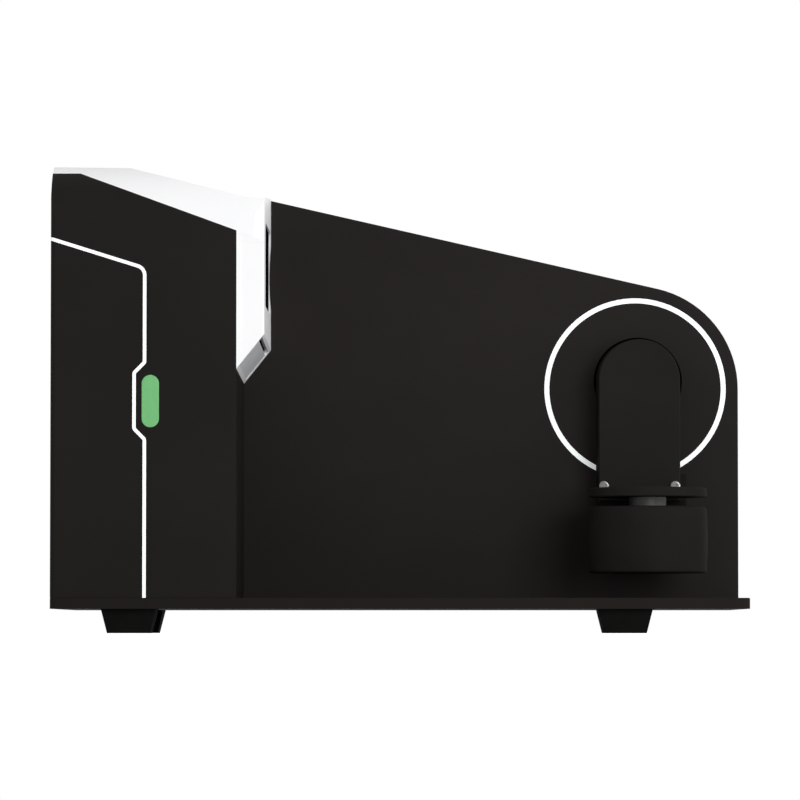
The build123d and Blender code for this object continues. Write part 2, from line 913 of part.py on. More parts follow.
def bench_sides():
    """Low and high side of the optical bench in X, then in Y."""
    x_low = housing_left + cover_thickness + bench_end_gap
    x_high = tower_front_x - cover_thickness - bench_end_gap
    y_low = tower_near + cover_thickness + bench_end_gap
    y_high = wall_front - bench_end_gap
    return x_low, x_high, y_low, y_high


def make_bench_posts():
    x_low, x_high, y_low, y_high = bench_sides()
    posts = []
    for x in (x_low + post_inset, x_high - post_inset):
        for y in (y_low + post_inset, y_high - post_inset):
            half = post_size / 2
            posts.append(block(x - half, x + half, y - half, y + half, base_top, bench_z))
    return posts


def make_optical_bench():
    x_low, x_high, y_low, y_high = bench_sides()
    return [block(x_low, x_high, y_low, y_high, bench_z, bench_z + bench_thickness)]


def look_frame():
    """The optics' frame: origin behind the window, x along the view, z square to it and up."""
    turn = math.radians(look_angle)
    start = Vector(nose_front_x - nose_front_wall - lens_setback, window_y, window_z)
    upright = Vector(math.sin(turn), 0, math.cos(turn))
    forward = Vector(math.cos(turn), 0, -math.sin(turn))
    return Plane(start, x_dir=forward, z_dir=upright)


def look_block(x_low, x_high, y_middle, width, z_low, z_high):
    """A box in the optics' frame."""
    middle = Pos((x_low + x_high) / 2, y_middle, (z_low + z_high) / 2)
    return look_frame() * middle * Box(x_high - x_low, width, z_high - z_low)


def look_rod(x_low, x_high, y_middle, radius):
    """A cylinder along the view in the optics' frame."""
    along = Pos(x_low, y_middle, 0) * Rot(0, 90, 0)
    foot = (Align.CENTER, Align.CENTER, Align.MIN)
    return look_frame() * along * Cylinder(radius, x_high - x_low, align=foot)


def make_optics_cradle():
    width = camera_spacing + camera_size + 2 * cradle_margin
    seat = -projector_height / 2
    lens_end = -projector_lens_length
    body_end = lens_end - projector_length
    cradle = look_block(body_end, lens_end, 0, width, seat - beyond, seat)
    camera_end = -camera_lens_length
    camera_seat = -camera_size / 2
    for side in (-1, 1):
        ends = (camera_end - camera_length, camera_end)
        middle = side * camera_spacing / 2
        cradle += look_block(*ends, middle, camera_size, seat - bench_thickness, camera_seat)
    rear = body_end + cradle_back
    cradle -= look_block(body_end, rear, 0, width, seat - beyond, seat - projector_height / 4)
    bench_top = Plane((0, 0, bench_z + bench_thickness), x_dir=(1, 0, 0), z_dir=(0, 0, -1))
    return [cradle - half_space(bench_top)]


def make_projector_body():
    front = -projector_lens_length
    half = projector_height / 2
    return [look_block(front - projector_length, front, 0, projector_width, -half, half)]


def make_projector_lens():
    barrel = look_rod(-projector_lens_length, 0, 0, projector_lens_radius)
    rim = barrel.faces().sort_by(Axis.X)[-1]
    return [chamfer(rim.edges(), projector_lens_edge)]


def make_scan_cameras():
    front = -camera_lens_length
    half = camera_size / 2
    cameras = []
    for side in (-1, 1):
        middle = side * camera_spacing / 2
        cameras.append(look_block(front - camera_length, front, middle, camera_size, -half, half))
    return cameras


def make_camera_lenses():
    lenses = []
    for side in (-1, 1):
        middle = side * camera_spacing / 2
        barrel = look_rod(-camera_lens_length, -camera_lens_length / 2, middle, camera_lens_radius)
        barrel += look_rod(-camera_lens_length / 2, 0, middle, camera_lens_radius - camera_lens_step)
        lenses.append(barrel)
    return lenses


# Swing drive behind the wall

def gear_outline(teeth):
    """An involute spur gear with one tooth on the +X side."""
    pitch_radius = gear_module * teeth / 2
    base_radius = pitch_radius * math.cos(math.radians(pressure_angle))
    tip_radius = pitch_radius + gear_module
    root_radius = pitch_radius - 1.25 * gear_module
    start_radius = max(base_radius, root_radius)
    half_tooth = math.pi / (2 * teeth) - gear_backlash / (2 * pitch_radius)
    involute_at_pitch = math.tan(math.radians(pressure_angle)) - math.radians(pressure_angle)
    flank = [(root_radius, half_tooth + involute_at_pitch)]
    for step in range(flank_steps + 1):
        radius = start_radius + (tip_radius - start_radius) * step / flank_steps
        roll = math.acos(base_radius / radius)
        flank.append((radius, half_tooth + involute_at_pitch - (math.tan(roll) - roll)))
    points = []
    for tooth in range(teeth):
        centre = 2 * math.pi * tooth / teeth
        rising = [(radius, centre - angle) for radius, angle in flank]
        falling = [(radius, centre + angle) for radius, angle in reversed(flank)]
        for radius, angle in rising + falling:
            points.append((radius * math.cos(angle), radius * math.sin(angle)))
    return polygon(points)


def make_swing_hub():
    hub = rod_y(pivot_x, pivot_z, hub_radius, arm_back, arm_back + hub_depth)
    shaft_end = arm_back + hub_depth + swing_shaft_length
    return [hub + rod_y(pivot_x, pivot_z, swing_shaft_radius, arm_back + hub_depth, shaft_end)]


def make_swing_bearings():
    bearings = []
    for start in (stand_front, stand_rear):
        ring = rod_y(pivot_x, pivot_z, bearing_outer_radius, start, start + stand_plate)
        ring -= rod_y(pivot_x, pivot_z, swing_shaft_radius + running_gap, start, start + stand_plate)
        bearings.append(ring)
    return bearings


def make_bearing_stand():
    left = pivot_x - stand_left
    right = pivot_x + stand_right
    top = pivot_z + stand_top
    end = stand_rear + stand_plate
    stand = block(left, right, stand_front, stand_front + stand_plate, base_top, top)
    stand += block(left, right, stand_rear, end, base_top, top)
    stand += block(left, right, stand_front, end, base_top, base_top + stand_foot_thickness)
    stand -= rod_y(pivot_x, pivot_z, bearing_outer_radius, stand_front, end)
    stand -= rod_y(pinion_x, pivot_z, pinion_radius() + moving_gap, stand_front, end)
    return [stand]


def pinion_radius():
    return gear_module * (pinion_teeth / 2 + 1)


def make_swing_gear():
    gear = slab_y(gear_outline(gear_teeth), gear_front, gear_front + gear_width)
    gear = Pos(pivot_x, 0, pivot_z) * gear
    gear -= rod_y(pivot_x, pivot_z, swing_shaft_radius, gear_front, gear_front + gear_width)
    return [gear]


def make_motor_pinion():
    half_pitch = 180 / pinion_teeth
    outline = Rot(0, 0, half_pitch) * gear_outline(pinion_teeth)
    pinion = Pos(pinion_x, 0, pivot_z) * slab_y(outline, gear_front, gear_front + gear_width)
    shaft_end = motor_face + motor_shaft_reach
    return [pinion + rod_y(pinion_x, pivot_z, motor_shaft_radius, gear_front, shaft_end)]


def make_swing_motor():
    outline = Pos(pinion_x, pivot_z) * RectangleRounded(motor_size, motor_size, motor_edge)
    motor = slab_y(outline, motor_face, motor_face + motor_length)
    bore_end = motor_face + motor_shaft_reach + moving_gap
    return [motor - rod_y(pinion_x, pivot_z, motor_shaft_radius + running_gap, motor_face, bore_end)]


# Swing arm

def arm_outline(radius, bottom):
    """A strip with a round upper end about the pivot."""
    side = Rectangle(2 * radius, pivot_z - bottom, align=(Align.CENTER, Align.MIN))
    return Pos(pivot_x, pivot_z) * Circle(radius) + Pos(pivot_x, bottom) * side


def arm_screw_places():
    """Centres of the screws through the arm cover, then of those lower down behind the drum."""
    for z in (arm_screw_z, arm_screw_low_z):
        for side in (-1, 1):
            yield pivot_x + side * arm_screw_x, z


def make_arm_bracket():
    bottom = drum_bottom + bracket_bottom_rise
    facing = Plane((0, arm_back, 0), x_dir=(1, 0, 0), z_dir=(0, -1, 0))
    flare = math.degrees(math.atan(bracket_flare / bracket_thickness))
    outline = arm_outline(arm_cover_radius + bracket_flare, bottom)
    bracket = extrude(facing * outline, amount=bracket_thickness, taper=flare)
    ear_end = pivot_x + arm_cover_radius + bracket_ear
    ear_top = drum_top + bracket_ear_rise
    bracket += block(pivot_x, ear_end, bracket_front, arm_back, bottom + bracket_flare, ear_top)
    for x, z in arm_screw_places():
        bracket -= rod_y(x, z, arm_screw_radius + running_gap, bracket_front, bracket_front + arm_screw_length)
    return [bracket]


def make_arm_cover():
    cover = slab_y(arm_outline(arm_cover_radius, drum_top + arm_cover_rise), arm_front, bracket_front)
    cover = chamfer(cover.faces().sort_by(Axis.Y)[0].edges(), arm_cover_edge)
    for side in (-1, 1):
        x = pivot_x + side * arm_screw_x
        cover -= rod_y(x, arm_screw_z, arm_screw_radius + running_gap, arm_front, bracket_front)
    return [cover]


def make_arm_screws():
    screws = []
    for x, z in arm_screw_places():
        seat = arm_front if z == arm_screw_z else bracket_front
        head = rod_y(x, z, arm_screw_head_radius, seat - arm_screw_head_height, seat)
        head = fillet(head.faces().sort_by(Axis.Y)[0].edges(), arm_screw_head_height / 2)
        socket = Pos(x, z) * RegularPolygon(arm_screw_socket, 6)
        head -= slab_y(socket, seat - arm_screw_head_height, seat - arm_screw_head_height / 4)
        screws.append(head + rod_y(x, z, arm_screw_radius, seat, bracket_front + arm_screw_length))
    return screws


# Motor drum with the turntable

def neck_sides():
    """Low and high side of the drum's neck in X, then in Z."""
    half = drum_neck_width / 2
    low = drum_bottom + drum_neck_margin
    high = drum_top - drum_neck_margin
    return turntable_x - half, turntable_x + half, low, high


def crowned_drum(z_low, z_high):
    """The drum's outer form between two heights: a little wider half way up than at its ends."""
    end = drum_radius - drum_crown
    side = ThreePointArc((end, drum_bottom), (drum_radius, (drum_bottom + drum_top) / 2), (end, drum_top))
    rest = Polyline((end, drum_top), (0, drum_top), (0, drum_bottom), (end, drum_bottom))
    body = Pos(turntable_x, turntable_y, 0) * revolve(Plane.XZ * make_face(side.edges() + rest.edges()), Axis.Z)
    return body & rod_z(turntable_x, turntable_y, 2 * drum_radius, z_low, z_high)


def make_drum_housing():
    axis = (turntable_x, turntable_y)
    low = drum_bottom + drum_floor
    drum = crowned_drum(low, drum_top)
    drum = fillet(drum.faces().sort_by(Axis.Z)[-1].edges(), drum_top_edge)
    x_low, x_high, z_low, z_high = neck_sides()
    drum += block(x_low, x_high, turntable_y + drum_neck_root, bracket_front, z_low, z_high)
    drum -= rod_z(*axis, drum_radius - drum_wall, low, drum_top - drum_wall)
    seat_top = drum_top - drum_wall
    seat_low = seat_top - table_bearing_height
    drum += rod_z(*axis, table_bearing_radius + bearing_seat_wall, seat_low, seat_top)
    drum -= rod_z(*axis, table_bearing_radius, seat_low, seat_top)
    drum -= rod_z(*axis, shaft_radius + shaft_hole_gap, low, drum_top)
    return [drum]


def make_drum_bottom_cover():
    cover = crowned_drum(drum_bottom, drum_bottom + drum_floor)
    return [fillet(cover.faces().sort_by(Axis.Z)[0].edges(), drum_bottom_edge)]


def make_table_bearing():
    low = drum_top - drum_wall - table_bearing_height
    ring = rod_z(turntable_x, turntable_y, table_bearing_radius, low, drum_top - drum_wall)
    return [ring - rod_z(turntable_x, turntable_y, shaft_radius + running_gap, low, drum_top - drum_wall)]


def make_turntable_motor():
    floor = drum_bottom + drum_floor
    outline = RectangleRounded(turntable_motor_size, turntable_motor_size, motor_edge)
    body = extrude(Pos(turntable_x, turntable_y, floor) * outline, amount=turntable_motor_height)
    top = floor + turntable_motor_height
    bore = rod_z(turntable_x, turntable_y, spindle_radius + running_gap, top - spindle_depth - moving_gap, top)
    return [body - bore]


def make_turntable_shaft():
    axis = (turntable_x, turntable_y)
    motor_top = drum_bottom + drum_floor + turntable_motor_height
    shaft_bottom = motor_top + spindle_collar
    shaft = rod_z(*axis, shaft_radius, shaft_bottom, disc_bottom)
    shaft += rod_z(*axis, spindle_radius, motor_top - spindle_depth, shaft_bottom)
    for x, y in disc_screw_places():
        shaft -= rod_z(x, y, disc_screw_radius + running_gap, disc_top - disc_screw_length, disc_bottom)
    return [shaft]


def disc_screw_places():
    """Centres of the screws that hold the disc on its shaft."""
    for number in range(disc_screw_count):
        angle = 2 * math.pi * number / disc_screw_count
        x = turntable_x + disc_screw_circle * math.cos(angle)
        yield x, turntable_y + disc_screw_circle * math.sin(angle)


def disc_screw_head(x, y, gap):
    """A countersunk head, flush with the disc's top, larger all round by gap."""
    depth = disc_screw_head_radius - disc_screw_radius
    hanging = (Align.CENTER, Align.CENTER, Align.MAX)
    cone = Cone(disc_screw_radius + gap, disc_screw_head_radius + gap, depth, align=hanging)
    return Pos(x, y, disc_top) * cone


def make_turntable_disc():
    disc = rod_z(turntable_x, turntable_y, disc_radius, disc_bottom, disc_top)
    rims = disc.edges().filter_by(GeomType.CIRCLE)
    disc = chamfer(rims, disc_edge)
    for x, y in disc_screw_places():
        disc -= rod_z(x, y, disc_screw_radius + running_gap, disc_bottom, disc_top)
        disc -= disc_screw_head(x, y, running_gap)
    return [disc]


def make_disc_screws():
    screws = []
    for x, y in disc_screw_places():
        shank = rod_z(x, y, disc_screw_radius, disc_top - disc_screw_length, disc_top)
        screws.append(shank + disc_screw_head(x, y, 0))
    return screws


# Electronics

def board_corners(inset):
    """Corners of the main board, moved inwards by inset."""
    for side in (-1, 1):
        for level in (-1, 1):
            x = board_x + side * (board_width / 2 - inset)
            yield x, board_z + level * (board_height / 2 - inset)


def board_face():
    return wall_back + board_standoff_height


def make_board_standoffs():
    places = board_corners(board_hole_inset)
    return [rod_y(x, z, board_standoff_radius, wall_back, board_face()) for x, z in places]


def make_main_board():
    outline = Pos(board_x, board_z) * RectangleRounded(board_width, board_height, board_standoff_radius)
    return [slab_y(outline, board_face(), board_face() + board_thickness)]


def make_board_components():
    back = board_face() + board_thickness
    chip = centred_slab(board_x, board_z, chip_size, chip_size, back, back + chip_height)
    parts = [chip]
    plug_z = board_z - board_height / 2 + plug_inset + plug_height / 2
    for number in range(plug_count):
        x = board_x + (number - (plug_count - 1) / 2) * plug_pitch
        parts.append(centred_slab(x, plug_z, plug_width, plug_height, back, back + plug_depth))
    for number in range(capacitor_count):
        x = board_x + capacitor_x + (number - (capacitor_count - 1) / 2) * capacitor_pitch
        parts.append(rod_y(x, board_z + capacitor_z, capacitor_radius, back, back + capacitor_length))
    return parts


def make_power_supply():
    y_low = wall_back + supply_gap
    plan = Pos(supply_x, y_low + supply_depth / 2, base_top) * Rectangle(supply_length, supply_depth)
    box = extrude(plan, amount=supply_height)
    return [chamfer(box.edges().filter_by(Axis.Z), supply_edge)]


# Rear fittings

def make_power_inlet():
    back = rear_panel_out + inlet_flange_thickness
    outer = Pos(inlet_x, socket_z) * RectangleRounded(inlet_flange_width, inlet_flange_height, inlet_corner)
    inlet = slab_y(outer, rear_panel_out, back)
    inlet += centred_slab(inlet_x, socket_z, inlet_body_width, inlet_body_height, back - inlet_body_depth, back)
    cavity_end = back - inlet_cavity_depth
    inlet -= centred_slab(inlet_x, socket_z, inlet_cavity_width, inlet_cavity_height, cavity_end, back)
    return [inlet]


def make_inlet_pins():
    start = rear_panel_out + inlet_flange_thickness - inlet_cavity_depth
    end = start + inlet_pin_length
    lower = -inlet_earth_offset / 2
    pins = []
    for x, z in ((0, inlet_earth_offset), (-inlet_pin_pitch, lower), (inlet_pin_pitch, lower)):
        pins.append(centred_slab(inlet_x + x, socket_z + z, inlet_pin_width, inlet_pin_height, start, end))
    return pins


def make_usb_port():
    back = rear_panel_out + rear_panel_thickness / 2
    start = back - usb_depth
    port = centred_slab(usb_x, socket_z, usb_width, usb_height, start, back)
    mouth = (usb_width - 2 * usb_wall, usb_height - 2 * usb_wall)
    port -= centred_slab(usb_x, socket_z, *mouth, start + usb_wall, back)
    tongue = (usb_tongue_width, usb_tongue_height, start + usb_wall, back - usb_tongue_setback)
    return [port + centred_slab(usb_x, socket_z, *tongue)]


def make_switch_body():
    back = rear_panel_out + inlet_flange_thickness
    rim_width = rocker_body_width + 2 * rocker_rim
    rim = RectangleRounded(rim_width, rocker_body_height + 2 * rocker_rim, rocker_rim / 2)
    body = slab_y(Pos(rocker_x, socket_z) * rim, rear_panel_out, back)
    start = back - rocker_body_depth
    body += centred_slab(rocker_x, socket_z, rocker_body_width, rocker_body_height, start, back)
    width = rocker_width + 2 * rocker_side_gap
    height = rocker_height + 2 * rocker_end_gap
    body -= centred_slab(rocker_x, socket_z, width, height, start + rocker_floor, back)
    reach = rocker_width / 2 + rocker_pin_length + rocker_side_gap
    y = rocker_pivot_y()
    body -= rod_x(y, socket_z, rocker_pin_radius + running_gap, rocker_x - reach, rocker_x + reach)
    return [body]


def rocker_pivot_y():
    """The rocker turns about an axis a little inside the switch's face."""
    return rear_panel_out - rocker_depth / 2


def make_power_rocker():
    back = rear_panel_out + inlet_flange_thickness + rocker_proud
    half = rocker_height / 2
    dip = rocker_depth / 3
    front = back - rocker_depth
    section = [(front, -half), (back, -half), (back - dip, 0), (back, half), (front, half)]
    side_view = Plane((rocker_x - rocker_width / 2, 0, socket_z), x_dir=(0, 1, 0), z_dir=(1, 0, 0))
    rocker = extrude(side_view * polygon(section), amount=rocker_width)
    y = rocker_pivot_y()
    reach = rocker_width / 2 + rocker_pin_length
    rocker += rod_x(y, socket_z, rocker_pin_radius, rocker_x - reach, rocker_x + reach)
    pivot = Pos(rocker_x, y, socket_z)
    back_again = Pos(-rocker_x, -y, -socket_z)
    return [pivot * Rot(-rocker_tilt, 0, 0) * back_again * rocker]


def make_fan_frame():
    back = rear_panel_in
    start = back - fan_depth
    outline = Pos(fan_x, fan_z) * RectangleRounded(fan_size, fan_size, fan_corner)
    frame = slab_y(outline, start, back) - rod_y(fan_x, fan_z, fan_bore_radius, start, back)
    spoke_end = start + fan_spoke_thickness
    span = 2 * (fan_bore_radius + fan_spoke_root)
    spokes = rod_y(fan_x, fan_z, fan_hub_radius, start, spoke_end)
    spokes += centred_slab(fan_x, fan_z, span, fan_spoke_width, start, spoke_end)
    spokes += centred_slab(fan_x, fan_z, fan_spoke_width, span, start, spoke_end)
    pin = rod_y(fan_x, fan_z, fan_pin_radius, start, back - 2 * moving_gap)
    return [frame + spokes + pin]


def make_fan_rotor():
    start = rear_panel_in - fan_depth + fan_spoke_thickness + moving_gap
    end = rear_panel_in - moving_gap
    reach = fan_bore_radius - fan_tip_gap
    hub = rod_y(0, 0, fan_hub_radius, start, end)
    envelope = rod_y(0, 0, reach, start, end)
    blades = []
    for number in range(fan_blade_count):
        middle = Pos(reach / 2, (start + end) / 2, 0) * Rot(fan_blade_tilt, 0, 0)
        blade = middle * Box(reach, 2 * fan_depth, fan_blade_thickness)
        blades.append(Rot(0, 360 * number / fan_blade_count, 0) * blade & envelope)
    rotor = hub
    for blade in blades:
        rotor += blade
    rotor -= rod_y(0, 0, fan_pin_radius + running_gap, start, end)
    return [Pos(fan_x, 0, fan_z) * rotor]


pieces = {
    "base_plate": make_base_plate,
    "rubber_feet": make_rubber_feet,
    "foot_screws": make_foot_screws,
    "wall_panel": make_wall_panel,
    "ring_diffuser": make_ring_diffuser,
    "ring_led_strip": make_ring_led_strip,
    "housing_casing": make_housing_casing,
    "rear_panel": make_rear_panel,
    "tie_rods": make_tie_rods,
    "rear_panel_screws": make_rear_panel_screws,
    "tower_side_cover": make_tower_side_cover,
    "trim_line": make_trim_line,
    "tower_front_panel": make_tower_front_panel,
    "start_button": make_start_button,
    "push_switch": make_push_switch,
    "optics_hood": make_optics_hood,
    "nose_underside_panel": make_nose_underside_panel,
    "window_pane": make_window_pane,
    "bench_posts": make_bench_posts,
    "optical_bench": make_optical_bench,
    "optics_cradle": make_optics_cradle,
    "projector_body": make_projector_body,
    "projector_lens": make_projector_lens,
    "scan_cameras": make_scan_cameras,
    "camera_lenses": make_camera_lenses,
    "swing_hub": make_swing_hub,
    "swing_bearings": make_swing_bearings,
    "bearing_stand": make_bearing_stand,
    "swing_gear": make_swing_gear,
    "motor_pinion": make_motor_pinion,
    "swing_motor": make_swing_motor,
    "arm_bracket": make_arm_bracket,
    "arm_cover": make_arm_cover,
    "arm_screws": make_arm_screws,
    "drum_housing": make_drum_housing,
    "drum_bottom_cover": make_drum_bottom_cover,
    "table_bearing": make_table_bearing,
    "turntable_motor": make_turntable_motor,
    "turntable_shaft": make_turntable_shaft,
    "turntable_disc": make_turntable_disc,
    "disc_screws": make_disc_screws,
    "board_standoffs": make_board_standoffs,
    "main_board": make_main_board,
    "board_components": make_board_components,
    "power_supply": make_power_supply,
    "power_inlet": make_power_inlet,
    "inlet_pins": make_inlet_pins,
    "usb_port": make_usb_port,
    "switch_body": make_switch_body,
    "power_rocker": make_power_rocker,
    "fan_frame": make_fan_frame,
    "fan_rotor": make_fan_rotor,
}

os.makedirs("parts", exist_ok=True)
for name, make in pieces.items():
    solids = []
    for shape in make():
        solids.extend(shape.solids())
    whole = solids[0] if len(solids) == 1 else Compound(solids)
    export_step(whole, f"parts/{name}.step")
    print(name, len(solids))
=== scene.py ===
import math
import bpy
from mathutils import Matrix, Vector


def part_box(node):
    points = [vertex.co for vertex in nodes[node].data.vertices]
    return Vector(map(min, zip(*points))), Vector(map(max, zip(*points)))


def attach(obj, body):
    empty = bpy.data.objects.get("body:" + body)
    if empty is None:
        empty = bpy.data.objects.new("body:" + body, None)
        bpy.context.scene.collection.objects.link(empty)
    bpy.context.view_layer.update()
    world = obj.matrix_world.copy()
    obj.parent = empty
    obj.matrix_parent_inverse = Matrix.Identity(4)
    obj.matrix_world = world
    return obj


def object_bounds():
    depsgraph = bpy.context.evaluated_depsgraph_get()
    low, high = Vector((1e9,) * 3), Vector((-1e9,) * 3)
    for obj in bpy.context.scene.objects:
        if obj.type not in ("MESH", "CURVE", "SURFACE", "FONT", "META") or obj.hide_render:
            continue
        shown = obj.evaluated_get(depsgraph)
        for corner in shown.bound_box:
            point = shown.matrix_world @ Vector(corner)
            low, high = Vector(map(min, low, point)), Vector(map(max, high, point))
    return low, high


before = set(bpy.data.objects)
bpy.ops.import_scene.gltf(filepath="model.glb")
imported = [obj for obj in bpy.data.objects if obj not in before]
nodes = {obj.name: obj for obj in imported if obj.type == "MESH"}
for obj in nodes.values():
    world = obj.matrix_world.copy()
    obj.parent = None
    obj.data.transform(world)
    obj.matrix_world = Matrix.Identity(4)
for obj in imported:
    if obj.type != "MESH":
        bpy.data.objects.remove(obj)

# %% [markdown]
# # A desktop scanner for dental models
#
# The object is a black bench machine: an optics tower with a white hood, a rear wall with a ring of light,
# and a swing arm that carries a motor-driven turntable. The exact solids come from the CAD model, in metres,
# in one shared frame. This file adds what a CAD model has no words for: finishes, light, a camera and a few
# small pieces.

mm = 0.001
cad_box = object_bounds()
bpy.ops.object.select_all(action="DESELECT")
print("CAD box in metres:", [list(corner) for corner in cad_box])

# %% [markdown]
# ## The camera
#
# The picture was taken from low down and far away, so the base plate is seen edge on. The upright edges lean
# in by about a pixel, which says that the camera looks up a little. The distance is what sets how much
# smaller the rear wall looks than the tower. The lens then follows from the distance and from the width that
# fills the picture.

# %% Place the camera
near_edge = cad_box[0][1]
camera_distance = 3.6
camera_height = 2 * mm
camera_side = 28.9 * mm
picture_width = 576.48 * mm
look_up = math.radians(2.6397)
look_left = math.radians(0.4562)

camera_data = bpy.data.cameras.new("long_lens")
camera_data.sensor_width = 36.0
camera_data.lens = camera_data.sensor_width * camera_distance / picture_width
camera = bpy.data.objects.new("camera", camera_data)
bpy.context.scene.collection.objects.link(camera)
camera.location = (camera_side, near_edge - camera_distance, camera_height)
camera.rotation_euler = (math.radians(90) + look_up, 0, look_left)
bpy.context.scene.camera = camera
print("lens in millimetres:", round(camera_data.lens, 1))

# %% [markdown]
# ## The white room
#
# Product pictures like this one are taken in a white room. Here the room looks white to the camera and in
# reflections, but as a lamp it gives only a plain, lower level, so that black stays black. A Light Path node
# tells the two apart, because it says which kind of ray has arrived.

# %% Tell the rays apart
white = (1.0, 1.0, 1.0, 1.0)


def seen_directly(tree):
    """One where a camera, mirror or glass ray arrives, and zero for the rays that only carry light."""
    path = tree.nodes.new("ShaderNodeLightPath")
    total = path.outputs["Is Camera Ray"]
    for name in ("Is Glossy Ray", "Is Transmission Ray"):
        larger = tree.nodes.new("ShaderNodeMath")
        larger.operation = "MAXIMUM"
        tree.links.new(total, larger.inputs[0])
        tree.links.new(path.outputs[name], larger.inputs[1])
        total = larger.outputs[0]
    return total


# %% Build the room
room_light = 0.6
scene = bpy.context.scene
scene.view_settings.view_transform = "Standard"
world = bpy.data.worlds.new("white_room")
scene.world = world
world.use_nodes = True
room = world.node_tree
room.nodes.clear()


def plain_background(strength):
    """A white background of a given strength."""
    background = room.nodes.new("ShaderNodeBackground")
    background.inputs["Color"].default_value = white
    background.inputs["Strength"].default_value = strength
    return background.outputs[0]


room_mix = room.nodes.new("ShaderNodeMixShader")
room_output = room.nodes.new("ShaderNodeOutputWorld")
room.links.new(seen_directly(room), room_mix.inputs[0])
room.links.new(plain_background(room_light), room_mix.inputs[1])
room.links.new(plain_background(1.0), room_mix.inputs[2])
room.links.new(room_mix.outputs[0], room_output.inputs["Surface"])
print("the room looks white and lights with a strength of", room_light)

# %% [markdown]
# ## Two soft lamps
#
# Big soft boxes give the even shading of a product picture. One stands in front, to the right and a little
# above, and a weaker one lights the right side. Their places and strengths were found by setting the shading
# of the hood, the wall and the drum against the picture's.

# %% Hang the lamps
def soft_box(name, place, target, size, watts):
    """A square lamp that faces a target."""
    lamp = bpy.data.lights.new(name, "AREA")
    lamp.size = size
    lamp.energy = watts
    holder = bpy.data.objects.new(name, lamp)
    scene.collection.objects.link(holder)
    holder.location = place
    aim = Vector(target) - Vector(place)
    holder.rotation_euler = aim.to_track_quat("-Z", "Y").to_euler()
    return holder


middle = (0.0, 0.0, 0.17)
lamps = [
    soft_box("front_box", place=(1.1, -2.55, 0.62), target=middle, size=1.2, watts=36.5),
    soft_box("right_box", place=(2.4, -0.55, 0.45), target=middle, size=0.9, watts=10),
]
print("lamps:", [lamp.name for lamp in lamps])

# %% [markdown]
# ## The floor
#
# The scanner stands on white paper. The lamps are set for the scanner, and at their level the paper alone
# would come out grey, so it gives a little light of its own that only the camera and reflections see. The
# scanner's shadow stays.

# %% Lay the floor
floor_size = 14
floor_depth = 0.2 * mm
paper_colour = (0.8, 0.8, 0.8, 1.0)
paper_lift = 0.62

bpy.ops.mesh.primitive_plane_add(size=floor_size, location=(0, 0, -floor_depth))
floor = bpy.context.object
floor.name = "floor"
floor_material = bpy.data.materials.new("white_floor")
floor_material.use_nodes = True
paper = floor_material.node_tree
paper.nodes.clear()
floor_paper = paper.nodes.new("ShaderNodeBsdfDiffuse")
floor_paper.inputs["Color"].default_value = paper_colour
floor_lift = paper.nodes.new("ShaderNodeEmission")
floor_lift.inputs["Color"].default_value = white
floor_scale = paper.nodes.new("ShaderNodeMath")
floor_scale.operation = "MULTIPLY"
floor_scale.inputs[1].default_value = paper_lift
floor_sum = paper.nodes.new("ShaderNodeAddShader")
floor_output = paper.nodes.new("ShaderNodeOutputMaterial")
paper.links.new(seen_directly(paper), floor_scale.inputs[0])
paper.links.new(floor_scale.outputs[0], floor_lift.inputs["Strength"])
paper.links.new(floor_paper.outputs[0], floor_sum.inputs[0])
paper.links.new(floor_lift.outputs[0], floor_sum.inputs[1])
paper.links.new(floor_sum.outputs[0], floor_output.inputs["Surface"])
floor.data.materials.append(floor_material)
print("floor at", floor.location.z)

# %% [markdown]
# ## Finishes
#
# Every finish is built from the same few steps: a shader with its plain values, a pattern of noise that
# shifts its colour and roughness a little, and a fine bump. One flat colour would look like a drawing.
# Colours are easiest to read off a screen, from 0 to 255, so a helper turns them into the linear values that
# the shader needs.

# %% Start a finish
def linear(red, green, blue):
    """A colour from 0-255 screen values, as the shader needs it."""
    values = []
    for value in (red, green, blue):
        share = value / 255
        values.append(share / 12.92 if share <= 0.04045 else ((share + 0.055) / 1.055) ** 2.4)
    return (*values, 1.0)


class Finish:
    """A material with one main shader, and the plain values that the patterns vary."""

    def __init__(self, name, colour, roughness, metallic=0.0, specular=0.5):
        self.material = bpy.data.materials.new(name)
        self.material.use_nodes = True
        self.material.diffuse_color = colour
        self.tree = self.material.node_tree
        self.shader = self.tree.nodes["Principled BSDF"]
        self.shader.inputs["Base Color"].default_value = colour
        self.shader.inputs["Roughness"].default_value = roughness
        self.shader.inputs["Metallic"].default_value = metallic
        self.shader.inputs["Specular IOR Level"].default_value = specular
        self.colour = colour
        self.roughness = roughness


# %% [markdown]
# ## Patterns of a real size
#
# All patterns are read in object space, in metres, so they have their real size on the piece and stay put
# from every side. A Mapping node scales that space until the blotches have the size that is asked for. It can
# scale the axes differently, because turning and milling leave marks that are long one way and short another.

# %% Make a noise of a real size
along_all = (1, 1, 1)


def noise(finish, size, stretch=along_all, detail=3.0):
    """Noise whose blotches are about size metres across, stretched along some of the axes."""
    place = finish.tree.nodes.new("ShaderNodeTexCoord")
    mapping = finish.tree.nodes.new("ShaderNodeMapping")
    mapping.inputs["Scale"].default_value = [1 / (size * share) for share in stretch]
    pattern = finish.tree.nodes.new("ShaderNodeTexNoise")
    pattern.inputs["Scale"].default_value = 1.0
    pattern.inputs["Detail"].default_value = detail
    finish.tree.links.new(place.outputs["Object"], mapping.inputs["Vector"])
    finish.tree.links.new(mapping.outputs["Vector"], pattern.inputs["Vector"])
    return pattern.outputs["Fac"]


# %% [markdown]
# ## Colour and gloss that drift
#
# Paint and plastic are a shade lighter in one place and darker in another, and a little shinier here than
# there. Noise stays mostly around its middle value, so only that part of it is used: a ramp turns it into two
# shades of one colour, and a range turns it into two roughnesses.

